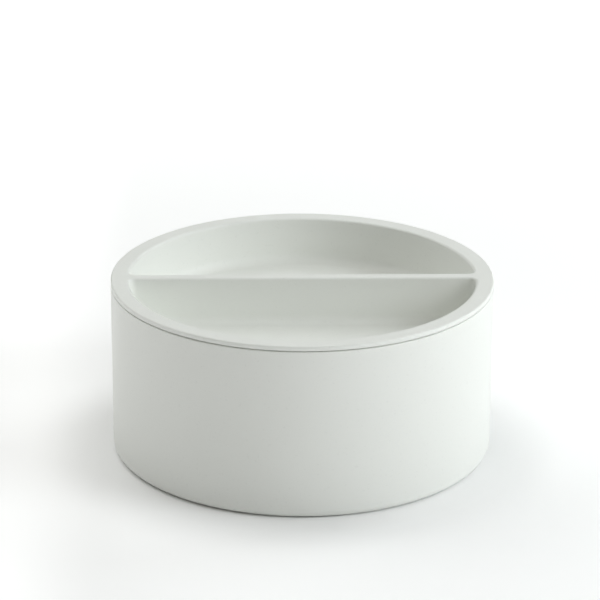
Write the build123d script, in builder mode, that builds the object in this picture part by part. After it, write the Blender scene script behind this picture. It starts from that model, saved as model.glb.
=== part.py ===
"""Go stone bowl: a straight-sided round bowl with a flush lid, in millimetres, +Z up.

The lid is a flat ring with a sunken tray inside it. The tray hangs in the mouth of the bowl, and the ring
rests on the bowl's rim. A straight wall across the tray parts it into two half-round compartments for
captured stones. The wall is also the grip: fingers reach into both compartments and lift the lid by it.

The origin is the centre of the standing plane. +Z is the axis of the bowl, and the dividing wall runs along X.
"""

import os

from build123d import *

# Overall
OUTER_RADIUS = 70.0
TOTAL_HEIGHT = 65.2

# Bowl
BOWL_WALL = 3.2
BOWL_FLOOR = 3.2
BOWL_INSIDE_DRAFT = 0.8  # the inside is this much narrower, on the radius, at its floor than at its mouth
BOWL_FOOT_ROUND = 3.0  # between the outer wall and the base
BOWL_SCOOP_ROUND = 10.0  # between the inner wall and the floor, so that the last stones can be picked out
BOWL_RIM_ROUND = 0.4
BASE_RECESS_RADIUS = 54.0  # the bowl stands on the ring outside this recess
BASE_RECESS_DEPTH = 0.8

# Lid ring
RING_WIDTH = 6.5  # flat top of the ring, from its outer edge to the mouth of the tray
RING_EDGE = 1.7  # height of the ring's outer edge
RING_TOP_ROUND = 0.6
RING_LOWER_ROUND = 0.2
SEAM_GAP = 0.4  # open line between the ring's outer edge and the bowl's rim
SEAM_DEPTH = 1.3  # how far in the open line goes, to where the ring rests on the rim

# Lid tray
LID_CLEARANCE = 0.4  # between the tray and the mouth of the bowl, on the radius
TRAY_DEPTH = 17.5
TRAY_DRAFT = 0.7  # the tray is this much narrower, on the radius, at its floor than at its mouth
TRAY_FLOOR = 2.6
TRAY_INNER_ROUND = 4.0
TRAY_OUTER_ROUND = 5.5
MOUTH_ROUND = 1.0  # round the top edge of each compartment

# Dividing wall
DIVIDER_TOP = 4.4
DIVIDER_DRAFT = 0.3  # each face leans out by this much from the top to the tray's floor
DIVIDER_ROOT_ROUND = 2.8  # where the wall meets the tray

rim_z = TOTAL_HEIGHT - RING_EDGE - SEAM_GAP
mouth_radius = OUTER_RADIUS - BOWL_WALL
tray_mouth_radius = OUTER_RADIUS - RING_WIDTH
tray_outer_radius = mouth_radius - LID_CLEARANCE
tray_floor_z = TOTAL_HEIGHT - TRAY_DEPTH
tray_base_z = tray_floor_z - TRAY_FLOOR


def round_corner(outline, corner, radius):
    """Rounds the corner of a sketch that lies at this point of its plane."""
    fillet(outline.vertices().sort_by_distance(corner)[0], radius)


with BuildPart() as bowl:
    with BuildSketch(Plane.XZ) as bowl_outline:
        with BuildLine():
            Polyline(
                (0, BASE_RECESS_DEPTH),
                (BASE_RECESS_RADIUS, BASE_RECESS_DEPTH),
                (BASE_RECESS_RADIUS + BASE_RECESS_DEPTH, 0),
                (OUTER_RADIUS, 0),
                (OUTER_RADIUS, rim_z),
                (mouth_radius, rim_z),
                (mouth_radius - BOWL_INSIDE_DRAFT, BOWL_FLOOR),
                (0, BOWL_FLOOR),
                close=True,
            )
        make_face()
        round_corner(bowl_outline, (OUTER_RADIUS, 0), BOWL_FOOT_ROUND)
        round_corner(bowl_outline, (OUTER_RADIUS, rim_z), BOWL_RIM_ROUND)
        round_corner(bowl_outline, (mouth_radius, rim_z), BOWL_RIM_ROUND)
        round_corner(bowl_outline, (mouth_radius - BOWL_INSIDE_DRAFT, BOWL_FLOOR), BOWL_SCOOP_ROUND)
    revolve(axis=Axis.Z)

# The space inside the tray: a round hollow, parted by the dividing wall into two compartments.
with BuildPart() as compartments:
    with BuildSketch(Plane.XZ) as hollow_outline:
        with BuildLine():
            Polyline(
                (0, tray_floor_z),
                (tray_mouth_radius - TRAY_DRAFT, tray_floor_z),
                (tray_mouth_radius, TOTAL_HEIGHT),
                (0, TOTAL_HEIGHT),
                close=True,
            )
        make_face()
        round_corner(hollow_outline, (tray_mouth_radius - TRAY_DRAFT, tray_floor_z), TRAY_INNER_ROUND)
    revolve(axis=Axis.Z)
    with BuildSketch(Plane.YZ):
        with BuildLine():
            Polyline(
                (DIVIDER_TOP / 2, TOTAL_HEIGHT),
                (DIVIDER_TOP / 2 + DIVIDER_DRAFT, tray_floor_z),
                (-DIVIDER_TOP / 2 - DIVIDER_DRAFT, tray_floor_z),
                (-DIVIDER_TOP / 2, TOTAL_HEIGHT),
                close=True,
            )
        make_face()
    extrude(amount=OUTER_RADIUS, both=True, mode=Mode.SUBTRACT)
    wall_faces = compartments.faces().filter_by(lambda face: abs(face.normal_at().Y) > 0.9)
    root_edges = wall_faces.edges().filter_by(lambda edge: edge.center().Z < TOTAL_HEIGHT - MOUTH_ROUND)
    fillet(root_edges, DIVIDER_ROOT_ROUND)

with BuildPart() as lid:
    with BuildSketch(Plane.XZ) as lid_outline:
        with BuildLine():
            Polyline(
                (0, tray_base_z),
                (tray_outer_radius - TRAY_DRAFT, tray_base_z),
                (tray_outer_radius, rim_z),
                (OUTER_RADIUS - SEAM_DEPTH, rim_z),
                (OUTER_RADIUS - SEAM_DEPTH, rim_z + SEAM_GAP),
                (OUTER_RADIUS, rim_z + SEAM_GAP),
                (OUTER_RADIUS, TOTAL_HEIGHT),
                (0, TOTAL_HEIGHT),
                close=True,
            )
        make_face()
        round_corner(lid_outline, (tray_outer_radius - TRAY_DRAFT, tray_base_z), TRAY_OUTER_ROUND)
        round_corner(lid_outline, (OUTER_RADIUS, rim_z + SEAM_GAP), RING_LOWER_ROUND)
        round_corner(lid_outline, (OUTER_RADIUS, TOTAL_HEIGHT), RING_TOP_ROUND)
    revolve(axis=Axis.Z)
    add(compartments.part, mode=Mode.SUBTRACT)
    top_edges = lid.edges().group_by(Axis.Z)[-1].sort_by(SortBy.LENGTH)
    fillet(top_edges[:-1], MOUTH_ROUND)  # all but the ring's outer edge, which is the longest

os.makedirs("parts", exist_ok=True)
bowl.part.label = "bowl"
lid.part.label = "lid"
export_step(bowl.part, "parts/bowl.step")
export_step(lid.part, "parts/lid.step")
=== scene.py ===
"""The looks of the go stone bowl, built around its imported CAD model. Metres, +Z up, origin where it stands.

Both pieces are quad meshes. The bowl is one outline turned about its axis. The lid is the same below and
outside, and its two compartments are stacks of level curves, each a half circle with rounded corners.
"""

from math import asin, atan2, ceil, cos, pi, radians, sin, sqrt, tan

import bmesh
import bpy
from mathutils import Euler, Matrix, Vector


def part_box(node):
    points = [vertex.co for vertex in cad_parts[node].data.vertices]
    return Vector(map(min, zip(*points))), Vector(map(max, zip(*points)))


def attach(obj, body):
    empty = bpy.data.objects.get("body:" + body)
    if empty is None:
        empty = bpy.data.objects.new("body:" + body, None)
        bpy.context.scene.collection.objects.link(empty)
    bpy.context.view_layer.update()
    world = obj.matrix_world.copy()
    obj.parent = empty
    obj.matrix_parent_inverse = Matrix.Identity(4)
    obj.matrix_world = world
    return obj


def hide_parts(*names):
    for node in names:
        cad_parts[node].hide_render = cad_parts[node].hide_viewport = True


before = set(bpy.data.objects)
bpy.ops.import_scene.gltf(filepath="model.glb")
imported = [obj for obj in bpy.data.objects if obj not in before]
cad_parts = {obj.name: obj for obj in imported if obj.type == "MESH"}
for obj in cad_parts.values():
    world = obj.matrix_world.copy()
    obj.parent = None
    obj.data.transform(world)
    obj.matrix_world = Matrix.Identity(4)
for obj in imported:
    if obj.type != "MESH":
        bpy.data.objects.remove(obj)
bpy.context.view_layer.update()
bowl_low, bowl_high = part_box("bowl")
lid_low, lid_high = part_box("lid")

MM = 0.001

# Sizes that the imported CAD model's boxes give
OUTER_RADIUS = bowl_high.x
TOP_Z = lid_high.z
RIM_Z = bowl_high.z
TRAY_BASE_Z = lid_low.z

# Sizes that repeat the CAD model's
BOWL_WALL = 3.2 * MM
BOWL_FLOOR = 3.2 * MM
BOWL_INSIDE_DRAFT = 0.8 * MM
BOWL_FOOT_ROUND = 3.0 * MM
BOWL_SCOOP_ROUND = 10.0 * MM
BOWL_RIM_ROUND = 0.4 * MM
BASE_RECESS_RADIUS = 54.0 * MM
BASE_RECESS_DEPTH = 0.8 * MM
RING_WIDTH = 6.5 * MM
RING_TOP_ROUND = 0.6 * MM
RING_LOWER_ROUND = 0.2 * MM
SEAM_GAP = 0.4 * MM
SEAM_DEPTH = 1.3 * MM
LID_CLEARANCE = 0.4 * MM
TRAY_DRAFT = 0.7 * MM
TRAY_FLOOR = 2.6 * MM
TRAY_INNER_ROUND = 4.0 * MM
TRAY_OUTER_ROUND = 5.5 * MM
MOUTH_ROUND = 1.0 * MM
DIVIDER_TOP = 4.4 * MM
DIVIDER_DRAFT = 0.3 * MM
DIVIDER_ROOT_ROUND = 2.8 * MM

mouth_radius = OUTER_RADIUS - BOWL_WALL
tray_mouth_radius = OUTER_RADIUS - RING_WIDTH
tray_outer_radius = mouth_radius - LID_CLEARANCE
tray_floor_z = TRAY_BASE_Z + TRAY_FLOOR

# Small roundings of edges that the CAD model has sharp
RECESS_EDGE_ROUND = 0.2 * MM
SEAM_CORNER_ROUND = 0.1 * MM
SEAT_CORNER_ROUND = 0.15 * MM

# Fineness of the meshes
BOWL_SEGMENTS = 256  # round the bowl
STRAIGHT_STEPS = 64  # along a compartment's straight side
CORNER_STEPS = 8
ARC_STEPS = 112  # along a compartment's half circle
ACROSS_STEPS = 4  # across the top of the dividing wall
MOUTH_STEPS = 8  # down the rounding of a compartment's mouth
TRAY_WALL_STEP = 1.5 * MM  # longest step down a compartment's side
TRAY_ROUND_STEPS = 18  # down the rounding at the tray's floor
RUN_STEP = 3.0 * MM  # longest step along a straight run of an outline
HOLD = 0.25 * MM  # a row of points this near to each rounding keeps the flats beside it flat
ARC_TURN = radians(11)  # largest turn between two points of a rounding
RECESS_MARGIN = 6.0 * MM  # the outline under the base ends this far inside the recess


def outline(corners):
    """Points (radius, height, edge) along corners (radius, height, rounding). edge is 1 on outer roundings."""
    places = [Vector(c[:2]) for c in corners]
    runs = []
    for i, corner in enumerate(corners):
        here = places[i]
        if i in (0, len(corners) - 1) or corner[2] == 0:
            runs.append([(here, 0.0)])
            continue
        before = (places[i - 1] - here).normalized()
        after = (places[i + 1] - here).normalized()
        half_turn = (pi - before.angle(after)) / 2
        reach = corner[2] * tan(half_turn)
        centre = here + (before + after).normalized() * (corner[2] / cos(half_turn))
        start = here + before * reach - centre
        outer = 1.0 if before.cross(after) > 0 else 0.0
        steps = max(4, ceil(2 * half_turn / ARC_TURN))
        way = -1 if outer else 1
        arc = []
        for k in range(steps + 1):
            turn = way * 2 * half_turn * k / steps
            c, s = cos(turn), sin(turn)
            arc.append((centre + Vector((start.x * c - start.y * s, start.x * s + start.y * c)), outer))
        runs.append(arc)
    points = []
    for run, following in zip(runs, runs[1:] + [None]):
        points += run
        if following is None:
            break
        start, end = run[-1][0], following[0][0]
        length = (end - start).length
        stops = [HOLD, length - HOLD] if length > 3 * HOLD else []
        inner = ceil((length - 2 * HOLD) / RUN_STEP)
        stops += [HOLD + (length - 2 * HOLD) * k / inner for k in range(1, inner)]
        points += [(start.lerp(end, s / length), 0.0) for s in sorted(stops)]
    return [(p.x, p.y, edge) for p, edge in points]


class Shape:
    """A mesh in the making: points, faces, and how much each point lies on an outer edge."""

    def __init__(self):
        self.points = []
        self.faces = []
        self.edges = []

    def point(self, x, y, z, edge=0.0):
        self.points.append((x, y, z))
        self.edges.append(edge)
        return len(self.points) - 1

    def circle(self, radius, z, angles, edge=0.0):
        return [self.point(radius * cos(a), radius * sin(a), z, edge) for a in angles]

    def sew(self, row, following, closed=True):
        """Quads between two rows of as many points."""
        count = len(row)
        for i in range(count if closed else count - 1):
            j = (i + 1) % count
            self.faces.append((row[i], row[j], following[j], following[i]))

    def turn(self, points, angles, row=None):
        """Sews circles, one for each outline point, on to a row, and returns the last."""
        for radius, z, edge in points:
            circle = self.circle(radius, z, angles, edge)
            if row:
                self.sew(row, circle)
            row = circle
        return row

    def fill(self, loop, across, along):
        """Fills a flat loop with quads. It has four sides, of across, along, across and along steps."""
        place = [Vector(self.points[i]) for i in loop]
        count = len(loop)

        def low(i):
            return i

        def right(j):
            return across + j

        def high(i):
            return 2 * across + along - i

        def left(j):
            return (2 * (across + along) - j) % count

        grid = []
        for j in range(along + 1):
            v = j / along
            row = []
            for i in range(across + 1):
                u = i / across
                if j == 0:
                    row.append(loop[low(i)])
                elif j == along:
                    row.append(loop[high(i)])
                elif i == 0:
                    row.append(loop[left(j)])
                elif i == across:
                    row.append(loop[right(j)])
                else:
                    spot = place[low(i)] * (1 - v) + place[high(i)] * v
                    spot += place[left(j)] * (1 - u) + place[right(j)] * u
                    spot -= place[low(0)] * (1 - u) * (1 - v) + place[right(0)] * u * (1 - v)
                    spot -= place[left(along)] * (1 - u) * v + place[high(across)] * u * v
                    row.append(self.point(*spot))
            grid.append(row)
        for row, following in zip(grid, grid[1:]):
            self.sew(row, following, closed=False)

    def piece(self, name):
        mesh = bpy.data.meshes.new(name)
        mesh.from_pydata(self.points, [], self.faces)
        mesh.attributes.new("edge", "FLOAT", "POINT").data.foreach_set("value", self.edges)
        made = bmesh.new()
        made.from_mesh(mesh)
        bmesh.ops.recalc_face_normals(made, faces=made.faces)
        made.to_mesh(mesh)
        made.free()
        mesh.shade_smooth()
        piece = bpy.data.objects.new(name, mesh)
        bpy.context.scene.collection.objects.link(piece)
        return piece


def make_bowl():
    """One outline, turned about the axis, from the inside floor over the rim and under the base."""
    shape = Shape()
    inside_floor_radius = mouth_radius - BOWL_INSIDE_DRAFT
    points = outline(
        [
            (inside_floor_radius - 2 * BOWL_SCOOP_ROUND, BOWL_FLOOR, 0),
            (inside_floor_radius, BOWL_FLOOR, BOWL_SCOOP_ROUND),
            (mouth_radius, RIM_Z, BOWL_RIM_ROUND),
            (OUTER_RADIUS, RIM_Z, BOWL_RIM_ROUND),
            (OUTER_RADIUS, 0, BOWL_FOOT_ROUND),
            (BASE_RECESS_RADIUS + BASE_RECESS_DEPTH, 0, RECESS_EDGE_ROUND),
            (BASE_RECESS_RADIUS, BASE_RECESS_DEPTH, RECESS_EDGE_ROUND),
            (BASE_RECESS_RADIUS - RECESS_MARGIN, BASE_RECESS_DEPTH, 0),
        ]
    )
    angles = [2 * pi * k / BOWL_SEGMENTS for k in range(BOWL_SEGMENTS)]
    quarter = BOWL_SEGMENTS // 4
    shape.fill(shape.turn(points[:1], angles), quarter, quarter)
    first = list(range(BOWL_SEGMENTS))
    last = shape.turn(points[1:], angles, first)
    shape.fill(last, quarter, quarter)
    return shape.piece("bowl_shell")


def stands_in(rounding, height):
    """How far a rounding at the foot of a wall stands in from it, at this height above the floor."""
    below = max(0.0, rounding - height)
    return rounding - sqrt(max(0.0, rounding**2 - below**2))


def compartment_levels():
    """(half of the dividing wall's thickness, tray radius, corner rounding, z, edge), from the top down."""
    wall_height = TOP_Z - tray_floor_z
    straight_to = wall_height - TRAY_INNER_ROUND
    wall_steps = ceil((straight_to - MOUTH_ROUND) / TRAY_WALL_STEP)

    flares = []  # (how far the mouth's rounding widens the compartment, depth below the top, edge)
    for k in range(MOUTH_STEPS):
        turn = pi / 2 * k / MOUTH_STEPS
        flares.append((MOUTH_ROUND * (1 - sin(turn)), MOUTH_ROUND * (1 - cos(turn)), 1.0))
    for k in range(wall_steps):
        edge = 1.0 if k == 0 else 0.0
        flares.append((0.0, MOUTH_ROUND + (straight_to - MOUTH_ROUND) * k / wall_steps, edge))
    for k in range(TRAY_ROUND_STEPS + 1):
        turn = pi / 2 * k / TRAY_ROUND_STEPS
        flares.append((0.0, wall_height - TRAY_INNER_ROUND * (1 - sin(turn)), 0.0))

    levels = []
    for flare, depth, edge in flares:
        height = wall_height - depth
        lean = depth / wall_height
        half = DIVIDER_TOP / 2 + DIVIDER_DRAFT * lean + stands_in(DIVIDER_ROOT_ROUND, height) - flare
        radius = tray_mouth_radius - TRAY_DRAFT * lean - stands_in(TRAY_INNER_ROUND, height) + flare
        near_floor = max(0.0, 1 - height / TRAY_INNER_ROUND)  # the corner opens up towards the floor
        corner = DIVIDER_ROOT_ROUND * (1 + near_floor**2) + flare
        levels.append((half, radius, corner, TOP_Z - depth, edge))
    return levels


def compartment_loop(shape, level, turn):
    """One level curve of a compartment: the straight side, the right corner, the arc, the left corner."""
    half, radius, corner, z, edge = level
    reach = sqrt((radius - corner) ** 2 - (half + corner) ** 2)
    rise = atan2(half + corner, reach)
    flat = [(reach * (2 * k / STRAIGHT_STEPS - 1), half) for k in range(STRAIGHT_STEPS + 1)]
    right = []
    for k in range(1, CORNER_STEPS):
        a = -pi / 2 + (pi / 2 + rise) * k / CORNER_STEPS
        right.append((reach + corner * cos(a), half + corner + corner * sin(a)))
    arc = []
    for k in range(ARC_STEPS + 1):
        a = rise + (pi - 2 * rise) * k / ARC_STEPS
        arc.append((radius * cos(a), radius * sin(a)))
    left = [(-x, y) for x, y in reversed(right)]
    c, s = cos(turn), sin(turn)
    return [shape.point(x * c - y * s, x * s + y * c, z, edge) for x, y in flat + right + arc + left]


def make_lid():
    """The compartments, the flat top between them and round them, and the outside turned about the axis."""
    shape = Shape()
    tops = []
    for turn in (0, pi):
        row = None
        for level in compartment_levels():
            loop = compartment_loop(shape, level, turn)
            if row:
                shape.sew(row, loop)
            else:
                tops.append(loop)
            row = loop
        shape.fill(row, STRAIGHT_STEPS, CORNER_STEPS + (ARC_STEPS - STRAIGHT_STEPS) // 2)

    top_radius = tray_mouth_radius + MOUTH_ROUND
    arc_from = STRAIGHT_STEPS + CORNER_STEPS
    arc_to = arc_from + ARC_STEPS

    def crossing(start, end, bulge=0.0):
        """A row of points across the dividing wall's top, from one compartment to the other."""
        a, b = Vector(shape.points[start]), Vector(shape.points[end])
        row = [start]
        for k in range(1, ACROSS_STEPS):
            u = k / ACROSS_STEPS
            spot = a.lerp(b, u)
            on_ring = top_radius * cos(asin(spot.y / top_radius))
            spot.x += bulge * (on_ring * (1 if spot.x > 0 else -1) - spot.x)
            row.append(shape.point(*spot))
        return row + [end]

    back, front = tops
    rows = [crossing(back[i], front[STRAIGHT_STEPS - i]) for i in range(STRAIGHT_STEPS + 1)]
    right_rows = [rows[-1]]
    left_rows = [rows[0]]
    for k in range(1, CORNER_STEPS + 1):
        bulge = (k / CORNER_STEPS) ** 2
        right_rows.append(crossing(back[STRAIGHT_STEPS + k], front[-k], bulge))
        left_rows.append(crossing(back[-k], front[STRAIGHT_STEPS + k], bulge))
    for run in (rows, right_rows, left_rows):
        for row, following in zip(run, run[1:]):
            shape.sew(row, following, closed=False)

    ring = back[arc_from : arc_to + 1] + left_rows[-1][1:-1] + front[arc_from : arc_to + 1]
    ring += right_rows[-1][-2:0:-1]
    angles = [atan2(shape.points[i][1], shape.points[i][0]) for i in ring]
    points = outline(
        [
            (top_radius, TOP_Z, 0),
            (OUTER_RADIUS, TOP_Z, RING_TOP_ROUND),
            (OUTER_RADIUS, RIM_Z + SEAM_GAP, RING_LOWER_ROUND),
            (OUTER_RADIUS - SEAM_DEPTH, RIM_Z + SEAM_GAP, SEAM_CORNER_ROUND),
            (OUTER_RADIUS - SEAM_DEPTH, RIM_Z, SEAM_CORNER_ROUND),
            (tray_outer_radius, RIM_Z, SEAT_CORNER_ROUND),
            (tray_outer_radius - TRAY_DRAFT, TRAY_BASE_Z, TRAY_OUTER_ROUND),
            (tray_outer_radius - 2 * TRAY_OUTER_ROUND, TRAY_BASE_Z, 0),
        ]
    )
    last = shape.turn(points[1:], angles, ring)
    quarter = len(last) // 4
    shape.fill(last, quarter, quarter)
    return shape.piece("lid_tray")


NOISE_SHIFT = (1.0, 0.7, 0.3)  # the way that a material's offset moves its noises


class Nodes:
    """Builds a material's node tree, in metres. add gives a node, finish the material, the rest a socket."""

    def __init__(self, name, offset):
        self.material = bpy.data.materials.new(name)
        self.material.use_nodes = True
        self.tree = self.material.node_tree
        self.shader = self.tree.nodes["Principled BSDF"]
        place = self.add("TexCoord").outputs["Object"]
        shift = Vector(NOISE_SHIFT) * offset
        self.where = self.add("VectorMath", (place, shift)).outputs[0]

    def put(self, socket, value):
        """Sets a socket to a value, or links it from another socket."""
        if isinstance(value, bpy.types.NodeSocket):
            self.tree.links.new(value, socket)
        else:
            socket.default_value = value

    def add(self, kind, inputs=(), **settings):
        """A node of this kind, with its inputs filled in order; None leaves one as it is."""
        node = self.tree.nodes.new("ShaderNode" + kind)
        for name, value in settings.items():
            setattr(node, name, value)
        for socket, value in zip(node.inputs, inputs):
            if value is not None:
                self.put(socket, value)
        return node

    def math(self, operation, *values):
        return self.add("Math", values, operation=operation).outputs[0]

    def noise(self, size, detail=2.0, bend=0.0, where=None):
        """Noise whose features are about this size, from 0 to 1 with a mean of 0.5."""
        node = self.add("TexNoise")
        self.put(node.inputs["Vector"], where or self.where)
        self.put(node.inputs["Scale"], 1 / size)
        self.put(node.inputs["Detail"], detail)
        self.put(node.inputs["Distortion"], bend)
        return node.outputs[0]

    def rise(self, value, start, end):
        """0 below start and 1 above end, or the other way round when start is the greater."""
        node = self.add("MapRange", interpolation_type="SMOOTHSTEP")
        self.put(node.inputs["Value"], value)
        self.put(node.inputs["From Min"], min(start, end))
        self.put(node.inputs["From Max"], max(start, end))
        self.put(node.inputs["To Min"], 0.0 if start < end else 1.0)
        self.put(node.inputs["To Max"], 1.0 if start < end else 0.0)
        return node.outputs[0]

    def total(self, base, *terms):
        """base plus each term's socket times its weight."""
        result = base
        for socket, weight in terms:
            result = self.math("MULTIPLY_ADD", socket, weight, result)
        return result

    def attribute(self, name):
        return self.add("Attribute", attribute_name=name).outputs["Fac"]

    def facing(self, direction):
        """How squarely the surface faces a direction, from -1 to 1."""
        normal = self.add("NewGeometry").outputs["Normal"]
        return self.add("VectorMath", (normal, direction), operation="DOT_PRODUCT").outputs["Value"]

    def hairlines(self, angle, length, apart, width):
        """Sparse fine scratches that run one way across a level face."""
        turned = self.add("Mapping", (self.where, None, (0, 0, angle), (apart / length, 1, 1))).outputs[0]
        waves = self.noise(apart, detail=1.0, where=turned)
        off_line = self.math("ABSOLUTE", self.math("SUBTRACT", waves, 0.5))
        line = self.rise(off_line, width / apart, 0.0)
        patches = self.rise(self.noise(length / 2, detail=1.0), 0.5, 0.6)
        return self.math("MULTIPLY", line, patches)

    def finish(self, colour, tone, roughness, height):
        """Wires up the shader: colour times tone, roughness, and a height in metres as bump."""
        shade = self.add("HueSaturation")
        self.put(shade.inputs["Value"], tone)
        self.put(shade.inputs["Color"], colour)
        self.put(self.shader.inputs["Base Color"], shade.outputs[0])
        self.put(self.shader.inputs["Roughness"], roughness)
        bump = self.add("Bump")
        self.put(bump.inputs["Distance"], 1.0)
        self.put(bump.inputs["Height"], height)
        self.put(self.shader.inputs["Normal"], bump.outputs[0])
        return self.material


RESIN_COLOUR = (0.855, 0.868, 0.832, 1)
RESIN_ROUGHNESS = 0.46
MICRON = 1e-6


def resin_material(name, offset, worn_face):
    """Satin moulded resin. worn_face is the way that the most worn face looks, as a Z of 1 or -1.

    It has slow drifts of tone, fine mottling, sparse specks, a moulded grain with slight waviness, smears left
    by hands, edges polished by use, and on its worn face hairline scratches and rubbed patches.
    """
    nodes = Nodes(name, offset)
    edge = nodes.attribute("edge")
    drift = nodes.noise(60 * MM)
    mottle = nodes.noise(1.2 * MM, detail=3.0)
    grain = nodes.noise(0.35 * MM)
    peel = nodes.noise(5 * MM, detail=1.0)
    waviness = nodes.noise(32 * MM, detail=1.0)
    smears = nodes.rise(nodes.noise(24 * MM, detail=4.0, bend=1.2), 0.5, 0.68)
    specks = nodes.rise(nodes.noise(0.9 * MM, detail=0.0), 0.74, 0.78)

    worn = nodes.rise(nodes.facing((0, 0, worn_face)), 0.95, 0.99)
    lines = nodes.math(
        "MAXIMUM",
        nodes.hairlines(radians(18), 45 * MM, 9 * MM, 0.12 * MM),
        nodes.hairlines(radians(101), 30 * MM, 7 * MM, 0.1 * MM),
    )
    lines = nodes.math("MULTIPLY", lines, worn)
    rubbed = nodes.math("MULTIPLY", nodes.rise(nodes.noise(9 * MM, detail=4.0), 0.52, 0.7), worn)

    tone = nodes.total(
        0.98,
        (drift, 0.024),
        (mottle, 0.016),
        (edge, 0.012),
        (specks, -0.03),
        (lines, 0.02),
        (rubbed, -0.008),
    )
    roughness = nodes.total(
        RESIN_ROUGHNESS,
        (mottle, 0.08),
        (smears, -0.07),
        (edge, -0.08),
        (lines, 0.12),
        (rubbed, 0.06),
    )
    height = nodes.total(
        0.0,
        (grain, 3 * MICRON),
        (peel, 5 * MICRON),
        (waviness, 40 * MICRON),
        (lines, -3 * MICRON),
    )
    nodes.put(nodes.shader.inputs["IOR"], 1.48)
    return nodes.finish(RESIN_COLOUR, tone, roughness, height)


def painted_light_paper_material():
    """Smooth white paper that glows faintly as painted light, more far off and on the left, but not close
    round the bowl, which paints a shadow round it.
    """
    nodes = Nodes("floor_paper_painted_light", 0)
    away = nodes.add("VectorMath", (nodes.where,), operation="LENGTH").outputs["Value"]
    near = nodes.rise(away, *PAINTED_LIGHT_NEAR)
    far = nodes.rise(away, *PAINTED_LIGHT_FAR)
    left = nodes.rise(nodes.add("SeparateXYZ", (nodes.where,)).outputs["X"], *PAINTED_LIGHT_LEFT)
    # Painted light: the floor's emission is left out close round the bowl, so it paints a shadow there, and is
    # stronger far off and on the left.
    painted_light = nodes.total(
        0.0,
        (near, PAINTED_LIGHT_NEAR_STRENGTH),
        (far, PAINTED_LIGHT_FAR_STRENGTH),
        (left, PAINTED_LIGHT_LEFT_STRENGTH),
    )
    fibres = nodes.noise(0.8 * MM, detail=3.0)
    cloud = nodes.noise(80 * MM)
    tone = nodes.total(0.99, (fibres, 0.01), (cloud, 0.008))
    roughness = nodes.total(0.72, (fibres, 0.08))
    height = nodes.total(0.0, (fibres, 6 * MICRON))
    nodes.put(nodes.shader.inputs["Specular IOR Level"], 0.2)
    nodes.put(nodes.shader.inputs["Emission Color"], (1, 1, 1, 1))
    nodes.put(nodes.shader.inputs["Emission Strength"], painted_light)
    return nodes.finish((0.97, 0.97, 0.97, 1), tone, roughness, height)


FLOOR_REACH = 2.5  # from the axis to each edge
FLOOR_Z = -0.02 * MM  # just below the face that the bowl stands on


def add_floor():
    mesh = bpy.data.meshes.new("floor")
    signs = ((-1, -1), (1, -1), (1, 1), (-1, 1))
    corners = [(x * FLOOR_REACH, y * FLOOR_REACH, FLOOR_Z) for x, y in signs]
    mesh.from_pydata(corners, [], [(0, 1, 2, 3)])
    floor = bpy.data.objects.new("floor", mesh)
    bpy.context.scene.collection.objects.link(floor)
    floor.data.materials.append(painted_light_paper_material())


# The camera stands in front of the bowl, a little to the left of its middle, and looks down.
CAMERA_TURN = radians(-1.41)  # about the bowl's axis
CAMERA_ASIDE = -0.8 * MM
CAMERA_DISTANCE = 1065 * MM  # from the middle of the lid's top
CAMERA_HEIGHT_ANGLE = radians(20.36)
CAMERA_PITCH = radians(20.835)
CAMERA_ROLL = radians(0.251)
FOCAL_LENGTH = 174.7
SENSOR_WIDTH = 36.0


def add_camera():
    data = bpy.data.cameras.new("camera")
    data.lens = FOCAL_LENGTH
    data.sensor_width = SENSOR_WIDTH
    camera = bpy.data.objects.new("camera", data)
    bpy.context.scene.collection.objects.link(camera)
    away = CAMERA_DISTANCE * cos(CAMERA_HEIGHT_ANGLE)
    above = CAMERA_DISTANCE * sin(CAMERA_HEIGHT_ANGLE)
    stand = Vector((CAMERA_ASIDE, -away, above))
    stand.rotate(Euler((0, 0, CAMERA_TURN)))
    camera.location = stand + Vector((0, 0, TOP_Z))
    tilt = Euler((pi / 2 - CAMERA_PITCH, 0, CAMERA_TURN)).to_matrix()
    roll = Euler((0, 0, CAMERA_ROLL)).to_matrix()
    camera.rotation_euler = (tilt @ roll).to_euler()
    bpy.context.scene.camera = camera


# Soft studio light: a dim sky, the floor's faint painted light, and round lamps that face the middle of the
# bowl.
SKY = (0.108, 0.108, 0.103, 1)
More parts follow.
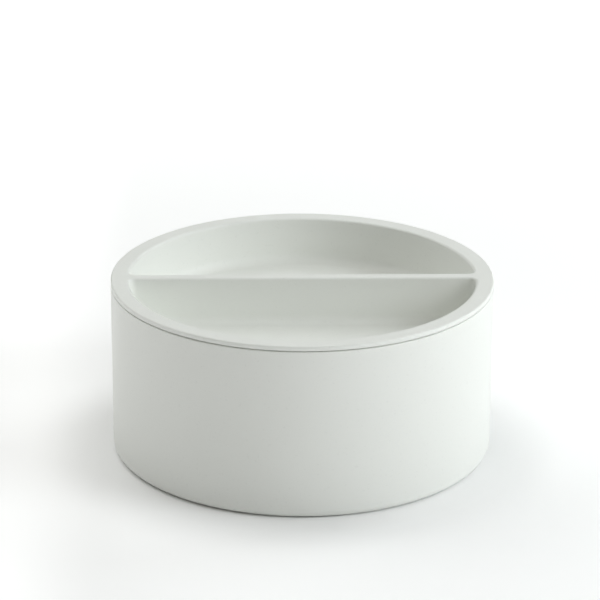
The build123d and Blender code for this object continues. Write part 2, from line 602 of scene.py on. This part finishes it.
# The floor's painted light comes up over these distances from the axis, near the bowl and again further off;
# its lack close round the bowl paints a shadow there.
PAINTED_LIGHT_NEAR = (OUTER_RADIUS + 3 * MM, OUTER_RADIUS + 32 * MM)
PAINTED_LIGHT_NEAR_STRENGTH = 0.13
PAINTED_LIGHT_FAR = (150 * MM, 600 * MM)
PAINTED_LIGHT_FAR_STRENGTH = 0.18
PAINTED_LIGHT_LEFT = (-68 * MM, -108 * MM)  # painted light: the sheet is a little brighter on the left, over this run of X
PAINTED_LIGHT_LEFT_STRENGTH = 0.15
# (name, way round the bowl from the right towards the back, height angle, distance, width, watts, colour)
LAMPS = (
    ("close_lamp", radians(-10), radians(25), 0.75, 0.5, 1.25, (0.94, 0.98, 1.0)),
    ("key_lamp", radians(-24), radians(27), 1.5, 0.8, 6.7, (0.94, 0.98, 1.0)),
    ("side_lamp", radians(35), radians(32), 1.5, 0.8, 4.7, (0.94, 0.98, 1.0)),
    ("back_lamp", radians(135), radians(45), 1.6, 1.6, 12.0, (0.99, 1.0, 0.99)),
    ("front_lamp", radians(262), radians(60), 1.6, 1.6, 3.7, (1.0, 1.0, 0.95)),
    ("top_lamp", 0.0, radians(90), 1.6, 1.6, 2.4, (1.0, 1.0, 0.97)),
)
LAMP_AIM = 40 * MM  # height of the point that the lamps face


def add_world():
    world = bpy.data.worlds.new("studio")
    world.use_nodes = True
    world.node_tree.nodes["Background"].inputs["Color"].default_value = SKY
    world.node_tree.nodes["Background"].inputs["Strength"].default_value = 1.0
    bpy.context.scene.world = world


def add_lamps():
    for name, way, height_angle, distance, width, watts, colour in LAMPS:
        data = bpy.data.lights.new(name, "AREA")
        data.shape = "DISK"
        data.size = width
        data.energy = watts
        data.color = colour
        lamp = bpy.data.objects.new(name, data)
        bpy.context.scene.collection.objects.link(lamp)
        outward = Vector((cos(height_angle) * cos(way), cos(height_angle) * sin(way), sin(height_angle)))
        lamp.location = outward * distance + Vector((0, 0, LAMP_AIM))
        lamp.rotation_euler = outward.to_track_quat("Z", "Y").to_euler()


add_camera()
add_world()
add_lamps()
add_floor()
bowl = make_bowl()
lid = make_lid()
bowl.data.materials.append(resin_material("bowl_resin", offset=100 * MM, worn_face=-1))
lid.data.materials.append(resin_material("lid_resin", offset=200 * MM, worn_face=1))
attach(bowl, "bowl")
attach(lid, "lid")
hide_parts("bowl")
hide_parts("lid")
bpy.context.scene.view_settings.view_transform = "Standard"
